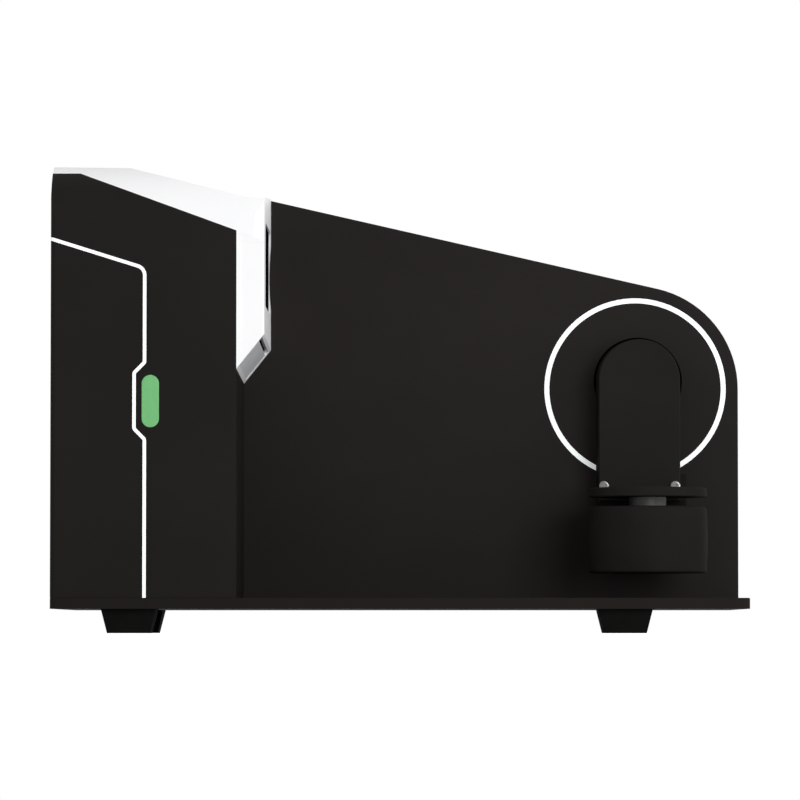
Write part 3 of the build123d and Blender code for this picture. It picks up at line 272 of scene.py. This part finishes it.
# %% Let the colour and the gloss drift
def mottle(finish, size, spread, stretch=along_all):
    """The colour drifts by a share of itself, darker and lighter."""
    ramp = finish.tree.nodes.new("ShaderNodeValToRGB")
    low, high = ramp.color_ramp.elements
    low.position, high.position = 0.35, 0.65
    low.color = (*[value * (1 - spread) for value in finish.colour[:3]], 1.0)
    high.color = (*[min(value * (1 + spread), 1) for value in finish.colour[:3]], 1.0)
    finish.tree.links.new(noise(finish, size, stretch), ramp.inputs["Fac"])
    finish.tree.links.new(ramp.outputs["Color"], finish.shader.inputs["Base Color"])


def uneven_gloss(finish, size, spread):
    """The roughness drifts, as on a handled or moulded surface."""
    scale = finish.tree.nodes.new("ShaderNodeMapRange")
    scale.inputs["From Min"].default_value = 0.3
    scale.inputs["From Max"].default_value = 0.7
    scale.inputs["To Min"].default_value = finish.roughness - spread
    scale.inputs["To Max"].default_value = finish.roughness + spread
    finish.tree.links.new(noise(finish, size), scale.inputs["Value"])
    finish.tree.links.new(scale.outputs["Result"], finish.shader.inputs["Roughness"])


# %% [markdown]
# ## Fine relief
#
# Powder coat has an orange peel, and a moulding has the grain of its mould. Both are far finer than the mesh,
# so they are a bump in the shader, a few hundredths of a millimetre high.

# %% Add relief, and dress the pieces
def grain(finish, size, depth, strength, stretch=along_all):
    """A fine relief, depth metres high."""
    bump = finish.tree.nodes.new("ShaderNodeBump")
    bump.inputs["Strength"].default_value = strength
    bump.inputs["Distance"].default_value = depth
    finish.tree.links.new(noise(finish, size, stretch, detail=2.0), bump.inputs["Height"])
    finish.tree.links.new(bump.outputs["Normal"], finish.shader.inputs["Normal"])


dressed = set()


def dress(finish, *names):
    """Gives a finish to CAD pieces, by name."""
    for name in names:
        for slot in nodes[name].material_slots:
            slot.material = finish.material
    dressed.update(names)
    print(finish.material.name, "on", ", ".join(names))


# %% [markdown]
# ## Black powder coat
#
# The sheet-metal covers are coated with a fine matt powder. It scatters nearly all light, has a slight orange
# peel, and reflects the white room only faintly, which is why the machine looks almost flat black in the
# picture.

# %% Coat the base plate and the housing
coat = Finish("powder_coat", linear(28, 25, 23), roughness=0.65, specular=0.05)
mottle(coat, size=220 * mm, spread=0.1)
uneven_gloss(coat, size=50 * mm, spread=0.05)
grain(coat, size=0.6 * mm, depth=0.04 * mm, strength=0.35)
dress(coat, "base_plate", "housing_casing", "rear_panel", "tower_front_panel")

# %% [markdown]
# The wall, the tower's side and the arm are coated in the same way, but in the picture each has its own shade
# of black. The wall's copy of the coat is a little lighter and greyer, and its lightness is painted light
# that makes up for the shade the wall stands in, farther back than the tower. The tower and the arm's cover
# are a little smoother, and the arm's bracket is dull.

# %% Coat the wall, the tower and the arm
# This copy of the coat is painted lighter than the base coat, as painted light on the shaded wall.
wall_coat_painted_lighter = Finish("wall_coat_painted_light", linear(34, 31.5, 30), roughness=0.65, specular=0.05)
mottle(wall_coat_painted_lighter, size=220 * mm, spread=0.08)
uneven_gloss(wall_coat_painted_lighter, size=50 * mm, spread=0.05)
grain(wall_coat_painted_lighter, size=0.6 * mm, depth=0.04 * mm, strength=0.35)
dress(wall_coat_painted_lighter, "wall_panel")

tower_coat = Finish("tower_powder_coat", linear(28, 26, 24), roughness=0.6, specular=0.05)
mottle(tower_coat, size=150 * mm, spread=0.08)
uneven_gloss(tower_coat, size=40 * mm, spread=0.05)
grain(tower_coat, size=0.5 * mm, depth=0.03 * mm, strength=0.3)
dress(tower_coat, "tower_side_cover", "arm_cover")

bracket_coat = Finish("bracket_coat", linear(27, 25, 24), roughness=0.8, specular=0.02)
mottle(bracket_coat, size=50 * mm, spread=0.1)
grain(bracket_coat, size=0.6 * mm, depth=0.04 * mm, strength=0.35)
dress(bracket_coat, "arm_bracket")

# %% [markdown]
# ## White moulding
#
# The hood is one injection moulding in white plastic with a satin skin. Its colour stays a little under full
# white, so that its faces still differ in shade.

# %% Finish the hood
hood_skin = Finish("white_moulding", (0.9, 0.903, 0.91, 1.0), roughness=0.38, specular=0.4)
mottle(hood_skin, size=120 * mm, spread=0.012)
uneven_gloss(hood_skin, size=30 * mm, spread=0.04)
grain(hood_skin, size=0.4 * mm, depth=0.02 * mm, strength=0.25)
dress(hood_skin, "optics_hood")

# %% [markdown]
# ## Opal strips
#
# The trim line and the ring are opal plastic with one finish, which gives a little light of its own, and so
# they show no hard shading. A strip of lamps stands behind the ring, so there the glow stands for their
# light. The trim line has no lamp behind it, so its glow is painted light. The strip of lamps behind the ring
# is brighter and warmer.

# %% Finish the trim line, the ring and its lamps
def glow(finish, colour, strength):
    """The surface gives a little light of its own."""
    finish.shader.inputs["Emission Color"].default_value = colour
    finish.shader.inputs["Emission Strength"].default_value = strength


opal = Finish("opal_strip", (0.9, 0.92, 0.92, 1.0), roughness=0.3, specular=0.4)
mottle(opal, size=10 * mm, spread=0.015)
grain(opal, size=0.8 * mm, depth=0.02 * mm, strength=0.2)
# On the trim line this glow is painted light, since no lamp sits behind it; on the ring it stands for the
# lamps behind.
glow(opal, (0.95, 0.98, 1.0, 1.0), strength=0.25)
dress(opal, "trim_line", "ring_diffuser")

lamp_strip = Finish("lamp_strip", (0.85, 0.84, 0.7, 1.0), roughness=0.4)
mottle(lamp_strip, size=3 * mm, spread=0.12)
glow(lamp_strip, (1.0, 0.97, 0.85, 1.0), strength=0.6)
dress(lamp_strip, "ring_led_strip")

# %% [markdown]
# ## Green button and grey nose panel
#
# The button is a rubbery, through-coloured cap. The panel under the nose is a plain grey moulding that sits a
# step inside its white frame.

# %% Finish the button and the nose panel
button_skin = Finish("green_cap", linear(108, 180, 114), roughness=0.42, specular=0.35)
mottle(button_skin, size=6 * mm, spread=0.03)
uneven_gloss(button_skin, size=4 * mm, spread=0.05)
grain(button_skin, size=0.3 * mm, depth=0.02 * mm, strength=0.3)
dress(button_skin, "start_button")

nose_skin = Finish("grey_moulding", linear(212, 214, 216), roughness=0.5, specular=0.35)
mottle(nose_skin, size=20 * mm, spread=0.03)
uneven_gloss(nose_skin, size=10 * mm, spread=0.05)
grain(nose_skin, size=0.5 * mm, depth=0.04 * mm, strength=0.4)
dress(nose_skin, "nose_underside_panel")

# %% [markdown]
# ## Dark window
#
# The cameras and the projector look out through a dark pane. A plain glossy pane that is seen nearly edge on,
# as here, would mirror the white room. In the picture it stays black, as coated glass does, so its reflection
# is taken away.

# %% Finish the window
pane = Finish("coated_glass", (0.003, 0.003, 0.004, 1.0), roughness=0.3, specular=0.0)
mottle(pane, size=30 * mm, spread=0.1)
uneven_gloss(pane, size=20 * mm, spread=0.03)
dress(pane, "window_pane")

# %% [markdown]
# ## Drum and turntable
#
# The drum is a moulded can with a finer skin than the covers. The disc is anodised aluminium, and its shaft
# is bare metal. Both are turned on a lathe, so their marks are finer along the axis than round it.

# %% Finish the drum, the disc and the shaft
drum_skin = Finish("drum_moulding", linear(31, 29, 27), roughness=0.8, specular=0.02)
mottle(drum_skin, size=50 * mm, spread=0.1)
uneven_gloss(drum_skin, size=20 * mm, spread=0.06)
grain(drum_skin, size=0.4 * mm, depth=0.03 * mm, strength=0.35)
dress(drum_skin, "drum_housing", "drum_bottom_cover")

disc_skin = Finish("black_anodised", linear(31, 30, 28), roughness=0.8, specular=0.02)
mottle(disc_skin, size=20 * mm, spread=0.08)
grain(disc_skin, size=0.6 * mm, depth=0.02 * mm, strength=0.3, stretch=(1, 1, 0.2))
dress(disc_skin, "turntable_disc")

turned = Finish("turned_metal", linear(92, 92, 90), roughness=0.5, metallic=0.3, specular=0.3)
mottle(turned, size=6 * mm, spread=0.05, stretch=(3, 3, 0.1))
grain(turned, size=0.4 * mm, depth=0.02 * mm, strength=0.35, stretch=(6, 6, 0.3))
dress(turned, "turntable_shaft")

# %% [markdown]
# ## Hub and feet
#
# The arm's hub and the stand that bears it are blackened. Their colour is also set far darker than any other
# black here, as painted shade, so that the gap round the arm reads as a shadow and nothing bright shows
# through it. The feet are dense rubber, darker than the covers.

# %% Finish the hub and the feet
# The near-black here is painted shade for the gap round the arm, on top of the blackened finish.
hub_coat_and_gap_shade = Finish("hub_black_with_painted_gap_shade", linear(12, 11, 10), roughness=0.8, specular=0.02)
mottle(hub_coat_and_gap_shade, size=10 * mm, spread=0.12)
grain(hub_coat_and_gap_shade, size=0.5 * mm, depth=0.02 * mm, strength=0.35, stretch=(3, 1, 3))
dress(hub_coat_and_gap_shade, "swing_hub", "bearing_stand")

foot_rubber = Finish("foot_rubber", linear(20, 20, 19), roughness=0.9, specular=0.02)
mottle(foot_rubber, size=12 * mm, spread=0.12)
uneven_gloss(foot_rubber, size=6 * mm, spread=0.06)
grain(foot_rubber, size=0.7 * mm, depth=0.06 * mm, strength=0.5)
dress(foot_rubber, "rubber_feet")

# %% [markdown]
# ## Screws and small plated parts
#
# The screws are of three kinds: zinc-plated under the feet, nickel-plated on the arm, and blackened where
# they should not catch the eye. The standoffs, the inlet's pins and the port's shell are plated as the first
# kind is.

# %% Finish the screws
screw_zinc = Finish("zinc_plate", (0.62, 0.62, 0.6, 1.0), roughness=0.32, metallic=1.0)
mottle(screw_zinc, size=2 * mm, spread=0.08)
grain(screw_zinc, size=0.3 * mm, depth=0.01 * mm, strength=0.3)
dress(screw_zinc, "foot_screws", "board_standoffs", "inlet_pins", "usb_port")

screw_nickel = Finish("nickel_screw", (0.16, 0.16, 0.157, 1.0), roughness=0.16, metallic=1.0)
mottle(screw_nickel, size=2 * mm, spread=0.1)
grain(screw_nickel, size=0.3 * mm, depth=0.01 * mm, strength=0.3)
dress(screw_nickel, "arm_screws")

screw_black = Finish("blackened_steel", (0.035, 0.034, 0.033, 1.0), roughness=0.35, metallic=0.9)
mottle(screw_black, size=2 * mm, spread=0.15)
grain(screw_black, size=0.2 * mm, depth=0.01 * mm, strength=0.3)
dress(screw_black, "rear_panel_screws", "disc_screws")

# %% [markdown]
# ## Machined parts inside
#
# Posts, bearings and gears are seen only when a cover is off, but each gets the finish of the real thing:
# aluminium with drawn-out milling marks, ground steel, and brass.

# %% Finish the machined parts
milled = Finish("milled_aluminium", (0.68, 0.69, 0.7, 1.0), roughness=0.36, metallic=1.0)
mottle(milled, size=10 * mm, spread=0.05, stretch=(1, 1, 4))
grain(milled, size=0.6 * mm, depth=0.02 * mm, strength=0.4, stretch=(0.4, 4, 4))
dress(milled, "tie_rods", "bench_posts", "optical_bench", "power_supply")

bearing_steel = Finish("bearing_steel", (0.6, 0.6, 0.61, 1.0), roughness=0.2, metallic=1.0)
mottle(bearing_steel, size=4 * mm, spread=0.05)
grain(bearing_steel, size=0.5 * mm, depth=0.01 * mm, strength=0.3)
dress(bearing_steel, "swing_bearings", "table_bearing", "motor_pinion")

gear_brass = Finish("gear_brass", (0.72, 0.56, 0.27, 1.0), roughness=0.3, metallic=1.0)
mottle(gear_brass, size=8 * mm, spread=0.08)
grain(gear_brass, size=0.4 * mm, depth=0.02 * mm, strength=0.3)
dress(gear_brass, "swing_gear")

# %% [markdown]
# ## Motors and optics
#
# The motors' cases are painted black. The optics are anodised black and fairly rough, so that they send no
# stray light into the cameras, and only the lenses are glossy.

# %% Finish the motors and the optics
motor_paint = Finish("motor_paint", (0.03, 0.03, 0.033, 1.0), roughness=0.4, specular=0.4)
mottle(motor_paint, size=10 * mm, spread=0.1)
grain(motor_paint, size=0.5 * mm, depth=0.03 * mm, strength=0.4)
dress(motor_paint, "swing_motor", "turntable_motor")

optic_black = Finish("optic_anodised", (0.02, 0.02, 0.022, 1.0), roughness=0.5, metallic=0.3, specular=0.3)
mottle(optic_black, size=10 * mm, spread=0.1)
grain(optic_black, size=0.4 * mm, depth=0.02 * mm, strength=0.35)
dress(optic_black, "optics_cradle", "projector_body", "scan_cameras")

lens_gloss = Finish("lens_barrel", (0.015, 0.015, 0.02, 1.0), roughness=0.18, specular=0.6)
mottle(lens_gloss, size=4 * mm, spread=0.1)
grain(lens_gloss, size=0.3 * mm, depth=0.01 * mm, strength=0.2)
dress(lens_gloss, "projector_lens", "camera_lenses")

# %% [markdown]
# ## Electrical parts
#
# The board wears the green mask that most boards have. Connectors, switches and the fan are moulded in one
# black plastic. They are the last pieces of the CAD model, so none should be left without a finish after
# this.

# %% Finish the electrical parts
board_mask = Finish("board_mask", (0.02, 0.14, 0.06, 1.0), roughness=0.3)
mottle(board_mask, size=4 * mm, spread=0.2)
grain(board_mask, size=0.8 * mm, depth=0.03 * mm, strength=0.4)
dress(board_mask, "main_board")

moulded = Finish("connector_moulding", (0.02, 0.02, 0.021, 1.0), roughness=0.5, specular=0.35)
mottle(moulded, size=5 * mm, spread=0.12)
uneven_gloss(moulded, size=4 * mm, spread=0.06)
grain(moulded, size=0.4 * mm, depth=0.03 * mm, strength=0.4)
dress(moulded, "board_components", "power_inlet", "switch_body", "power_rocker", "push_switch")
dress(moulded, "fan_frame", "fan_rotor")
print("pieces without a finish:", sorted(set(nodes) - dressed))

# %% [markdown]
# ## Small pieces that CAD leaves out
#
# A few things are added here: the wire guard over the fan, the two marks on the power rocker, and a thin ring
# of rubber on the turntable that keeps the holder plate from slipping. Each starts from a primitive and is
# shaped in edit mode. An operator acts on all that is selected, so each step starts from nothing.

# %% Pick and open one piece
def clear_selection():
    """Back to object mode with nothing selected."""
    if bpy.context.object is not None and bpy.context.object.mode != "OBJECT":
        bpy.ops.object.mode_set(mode="OBJECT")
    bpy.ops.object.select_all(action="DESELECT")


def pick(piece):
    """Selects one piece alone and makes it the active one."""
    clear_selection()
    piece.select_set(True)
    bpy.context.view_layer.objects.active = piece


def open_piece(piece):
    """Edit mode on one piece, with all of it selected."""
    pick(piece)
    bpy.ops.object.mode_set(mode="EDIT")
    bpy.ops.mesh.select_all(action="SELECT")


# %% [markdown]
# A spin sweeps a small outline round an axis, which is the plainest way to make a ring. It leaves a seam
# where it started, so the double points there are merged, and only then are the faces turned to point
# outwards.

# %% Sweep a ring
seam_width = 0.002 * mm


def face_outwards():
    """Turns every face of the open piece outwards and leaves edit mode."""
    bpy.ops.mesh.select_all(action="SELECT")
    bpy.ops.mesh.normals_make_consistent(inside=False)
    bpy.ops.object.mode_set(mode="OBJECT")


def sweep_round(piece, centre, axis, steps):
    """Turns an outline once round an axis and closes the seam."""
    open_piece(piece)
    bpy.ops.mesh.delete(type="ONLY_FACE")
    bpy.ops.mesh.select_all(action="SELECT")
    bpy.ops.mesh.spin(steps=steps, angle=math.tau, center=centre, axis=axis)
    bpy.ops.mesh.select_all(action="SELECT")
    bpy.ops.mesh.remove_doubles(threshold=seam_width)
    face_outwards()


# %% [markdown]
# A finished piece sits at the origin with its place in its mesh, as the CAD pieces do, so that patterns and
# motion treat it as they treat them. It then gets its name, its finish and the body that it rides on.

# %% Settle a finished piece
sharp_edge = math.radians(35)


def settle(piece, name, finish, body):
    """Moves a piece's place into its mesh, and gives it a name, a finish and a body to ride on."""
    pick(piece)
    bpy.ops.object.transform_apply(location=True, rotation=True, scale=True)
    bpy.ops.object.shade_smooth_by_angle(angle=sharp_edge)
    piece.name = name
    piece.data.materials.clear()
    piece.data.materials.append(finish.material)
    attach(piece, body)
    clear_selection()
    size = [round(side / mm, 1) for side in piece.dimensions]
    print(name, "faces:", len(piece.data.polygons), "size in mm:", size)


# %% [markdown]
# ## Wire guard over the fan
#
# Cooling fans carry a guard of bright steel wire: a few rings held by straight spokes. Each ring is a circle
# as thick as the wire, swept round the fan's axis, a little behind the panel.

# %% Model the guard's rings
fan_low, fan_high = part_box("fan_frame")
panel_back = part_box("rear_panel")[1][1]
fan_x = (fan_low[0] + fan_high[0]) / 2
fan_z = (fan_low[2] + fan_high[2]) / 2
wire_radius = 0.7 * mm
wire_sides = 10
guard_gap = 1.5 * mm
guard_rings = (8 * mm, 14 * mm, 20 * mm, 26 * mm)
guard_centre = (fan_x, panel_back + guard_gap, fan_z)

wires = []
for ring_radius in guard_rings:
    clear_selection()
    start = Vector(guard_centre) + Vector((ring_radius, 0, 0))
    bpy.ops.mesh.primitive_circle_add(vertices=wire_sides, radius=wire_radius, location=start)
    wires.append(bpy.context.object)
    sweep_round(wires[-1], guard_centre, axis=(0, 1, 0), steps=48)
print("rings:", len(wires))

# %% [markdown]
# Each spoke is the same circle with its face filled, extruded outwards and then bent down to the panel, where
# its end is welded flat.

# %% Model the guard's spokes
spoke_count = 4
spoke_start = 7.5 * mm
spoke_run = 23.5 * mm
spoke_bend = 1.5 * mm
spoke_drop = 0.8 * mm
spoke_foot = 3 * mm

for number in range(spoke_count):
    turn = math.tau * (number + 0.5) / spoke_count
    outwards = Vector((math.cos(turn), 0, math.sin(turn)))
    start = Vector(guard_centre) + outwards * spoke_start
    facing = outwards.to_track_quat("Z", "Y").to_euler()
    bend = outwards * spoke_bend + Vector((0, -spoke_drop, 0))
    clear_selection()
    bpy.ops.mesh.primitive_circle_add(vertices=wire_sides, radius=wire_radius, fill_type="NGON",
                                      location=start, rotation=facing)
    wires.append(bpy.context.object)
    open_piece(wires[-1])
    for step in (outwards * spoke_run, bend, outwards * spoke_foot):
        bpy.ops.mesh.extrude_region_move(TRANSFORM_OT_translate={"value": step})
    face_outwards()
print("rings and spokes:", len(wires))

# %% [markdown]
# Welds hold the wires of a real guard together. Here they are joined into one piece, which is plated bright.

# %% Join the guard
pick(wires[0])
for wire in wires:
    wire.select_set(True)
bpy.ops.object.join()

guard_wire = Finish("guard_wire", (0.6, 0.6, 0.6, 1.0), roughness=0.25, metallic=1.0)
mottle(guard_wire, size=3 * mm, spread=0.06)
grain(guard_wire, size=0.3 * mm, depth=0.01 * mm, strength=0.3)
settle(wires[0], "fan_guard", guard_wire, "scanner_base")

# %% [markdown]
# ## Marks on the power rocker
#
# A rocker switch shows which side is on: a bar for on and a ring for off. The marks are pad-printed in white,
# here with the thin height that thick ink has. The rocker's back is two slopes that meet in a dip in the
# middle, and at rest it is tilted to one side, so each mark's place and lean are worked out first.

# %% Find the rocker's slopes
rocker_low, rocker_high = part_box("power_rocker")
switch_low, switch_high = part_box("switch_body")
pivot_depth = 3.5 * mm
rocker_rise = 5.6 * mm
rocker_reach = 12 * mm
rocker_dip = 7 * mm / 3
tilt_at_rest = math.radians(7)
slope = math.atan2(rocker_dip, rocker_reach)
pivot_x = (rocker_low[0] + rocker_high[0]) / 2
pivot_y = panel_back - pivot_depth
pivot_z = (switch_low[2] + switch_high[2]) / 2


def on_the_rocker(height):
    """The point on the rocker's back at a height from its middle, and how far that slope leans."""
    rise = rocker_rise - rocker_dip * (1 - abs(height) / rocker_reach)
    y = rise * math.cos(tilt_at_rest) + height * math.sin(tilt_at_rest)
    z = height * math.cos(tilt_at_rest) - rise * math.sin(tilt_at_rest)
    lean = tilt_at_rest + math.copysign(slope, height)
    return Vector((pivot_x, pivot_y + y, pivot_z + z)), lean


print("each half of the rocker slopes by", round(math.degrees(slope), 1), "degrees")

# %% [markdown]
# The bar is a thin block with its edges bevelled. The ring is a flat loop of ink: a small squashed circle,
# swept round a line that stands square on the rocker's slope.

# %% Model the two marks
mark_height = 6.5 * mm
bar_size = (0.9 * mm, 0.3 * mm, 4.2 * mm)
bar_edge = 0.08 * mm
loop_radius = 1.9 * mm
ink_radius = 0.4 * mm
ink_flatness = 0.5

clear_selection()
spot, lean = on_the_rocker(mark_height)
bpy.ops.mesh.primitive_cube_add(size=1, location=spot, rotation=(-lean, 0, 0), scale=bar_size)
bar = bpy.context.object
open_piece(bar)
bpy.ops.mesh.bevel(offset=bar_edge, segments=2)
bpy.ops.object.mode_set(mode="OBJECT")

clear_selection()
spot, lean = on_the_rocker(-mark_height)
start = spot + Vector((loop_radius, 0, 0))
bpy.ops.mesh.primitive_circle_add(vertices=8, radius=ink_radius, location=start, rotation=(-lean, 0, 0))
loop = bpy.context.object
loop.scale = (1, ink_flatness, 1)
sweep_round(loop, spot, axis=(0, math.cos(lean), -math.sin(lean)), steps=32)

mark_ink = Finish("mark_ink", (0.82, 0.82, 0.8, 1.0), roughness=0.5, specular=0.3)
mottle(mark_ink, size=1 * mm, spread=0.03)
grain(mark_ink, size=0.2 * mm, depth=0.01 * mm, strength=0.3)
settle(bar, "rocker_on_mark", mark_ink, "power_rocker")
settle(loop, "rocker_off_mark", mark_ink, "power_rocker")

# %% [markdown]
# ## Grip ring on the turntable
#
# The holder plate of the dental model rests on the disc. A flat ring of rubber stands a fifth of a millimetre
# above the metal. Its outline is a thin rectangle with bevelled corners, swept round the turntable's axis.

# %% Model the grip ring
disc_low, disc_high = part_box("turntable_disc")
disc_middle = Vector(((disc_low[0] + disc_high[0]) / 2, (disc_low[1] + disc_high[1]) / 2, disc_high[2]))
grip_radius = 34 * mm
grip_width = 7 * mm
grip_thickness = 0.4 * mm
grip_edge = 0.1 * mm

clear_selection()
start = disc_middle + Vector((grip_radius, 0, 0))
bpy.ops.mesh.primitive_plane_add(size=1, location=start, rotation=(math.pi / 2, 0, 0))
grip = bpy.context.object
grip.scale = (grip_width, grip_thickness, 1)
pick(grip)
bpy.ops.object.transform_apply(location=False, rotation=True, scale=True)
open_piece(grip)
bpy.ops.mesh.bevel(offset=grip_edge, segments=2, affect="VERTICES")
sweep_round(grip, disc_middle, axis=(0, 0, 1), steps=96)

grip_rubber = Finish("grip_rubber", linear(34, 34, 33), roughness=0.8, specular=0.2)
mottle(grip_rubber, size=4 * mm, spread=0.12)
uneven_gloss(grip_rubber, size=3 * mm, spread=0.06)
grain(grip_rubber, size=0.5 * mm, depth=0.04 * mm, strength=0.5)
settle(grip, "disc_grip_ring", grip_rubber, "turntable")
